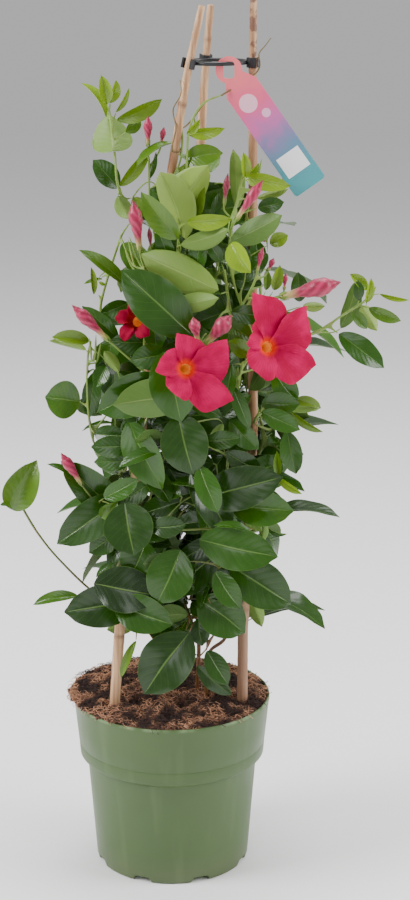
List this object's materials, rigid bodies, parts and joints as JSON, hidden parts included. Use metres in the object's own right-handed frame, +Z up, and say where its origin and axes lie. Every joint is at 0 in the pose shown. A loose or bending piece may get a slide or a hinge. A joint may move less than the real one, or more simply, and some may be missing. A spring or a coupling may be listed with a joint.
{
  "type": "potted climbing plant",
  "caption": "Mandevilla in bloom, twining up a tripod of bamboo canes held by two clip rings, in a plastic nursery pot with a hang tag.",
  "frame": {"origin": "centre of the pot's flat underside, on the floor", "axes": "+Z up along the pot's axis, -Y towards the plant's front, +X to its right as seen from the front"},
  "size_m": [0.3354, 0.235, 0.7425],
  "materials": {
    "pot": "satin",
    "soil": "fibrous, matte",
    "cane": "satin",
    "ring": "satin",
    "tag": "gloss",
    "vine": "matte bark and green stem",
    "leaf": "waxy, satin",
    "petal": "velvety",
    "bud": "satin"
  },
  "bodies": {
    "root": {"bloom_front": "petal", "bloom_hidden_left": "petal", "bloom_hidden_upper": "petal", "bloom_right": "petal", "bud_behind_leaf": "bud", "bud_beside_bloom": "bud", "bud_big_right": "bud", "bud_brown": "bud", "bud_by_tag": "bud", "bud_left": "bud", "bud_left_lower": "bud", "bud_left_upper": "bud", "bud_over_bloom": "bud", "bud_right_small": "bud", "bud_right_tiny": "bud", "bud_slender": "bud", "bud_top_left": "bud", "bud_top_small": "bud", "bud_upper_dark": "bud", "bud_upper_right": "bud", "cane_back": "cane", "cane_left": "cane", "cane_right": "cane", "pot": "pot", "ring_middle": "ring", "ring_top": "ring", "shoot_between_blooms": "leaf", "shoot_bottom_front": "leaf", "shoot_bottom_left": "leaf", "shoot_bottom_right": "leaf", "shoot_far_right": "leaf", "shoot_front_bloom": "leaf", "shoot_front_lower": "leaf", "shoot_front_middle": "leaf", "shoot_hanging": "leaf", "shoot_left_arching": "leaf", "shoot_left_bud": "leaf", "shoot_left_cluster": "leaf", "shoot_left_lower": "leaf", "shoot_left_middle": "leaf", "shoot_left_upper": "leaf", "shoot_right_arching": "leaf", "shoot_right_buds": "leaf", "shoot_right_lower": "leaf", "shoot_right_middle": "leaf", "shoot_right_upper": "leaf", "shoot_runner": "leaf", "shoot_top_left": "leaf", "shoot_twin_buds": "leaf", "shoot_upper_middle": "leaf", "shoot_upper_right": "leaf", "soil": "soil", "tag": "tag", "vine_back": "vine", "vine_front": "vine", "vine_left": "vine", "vine_right": "vine"}
  },
  "joints": []
}
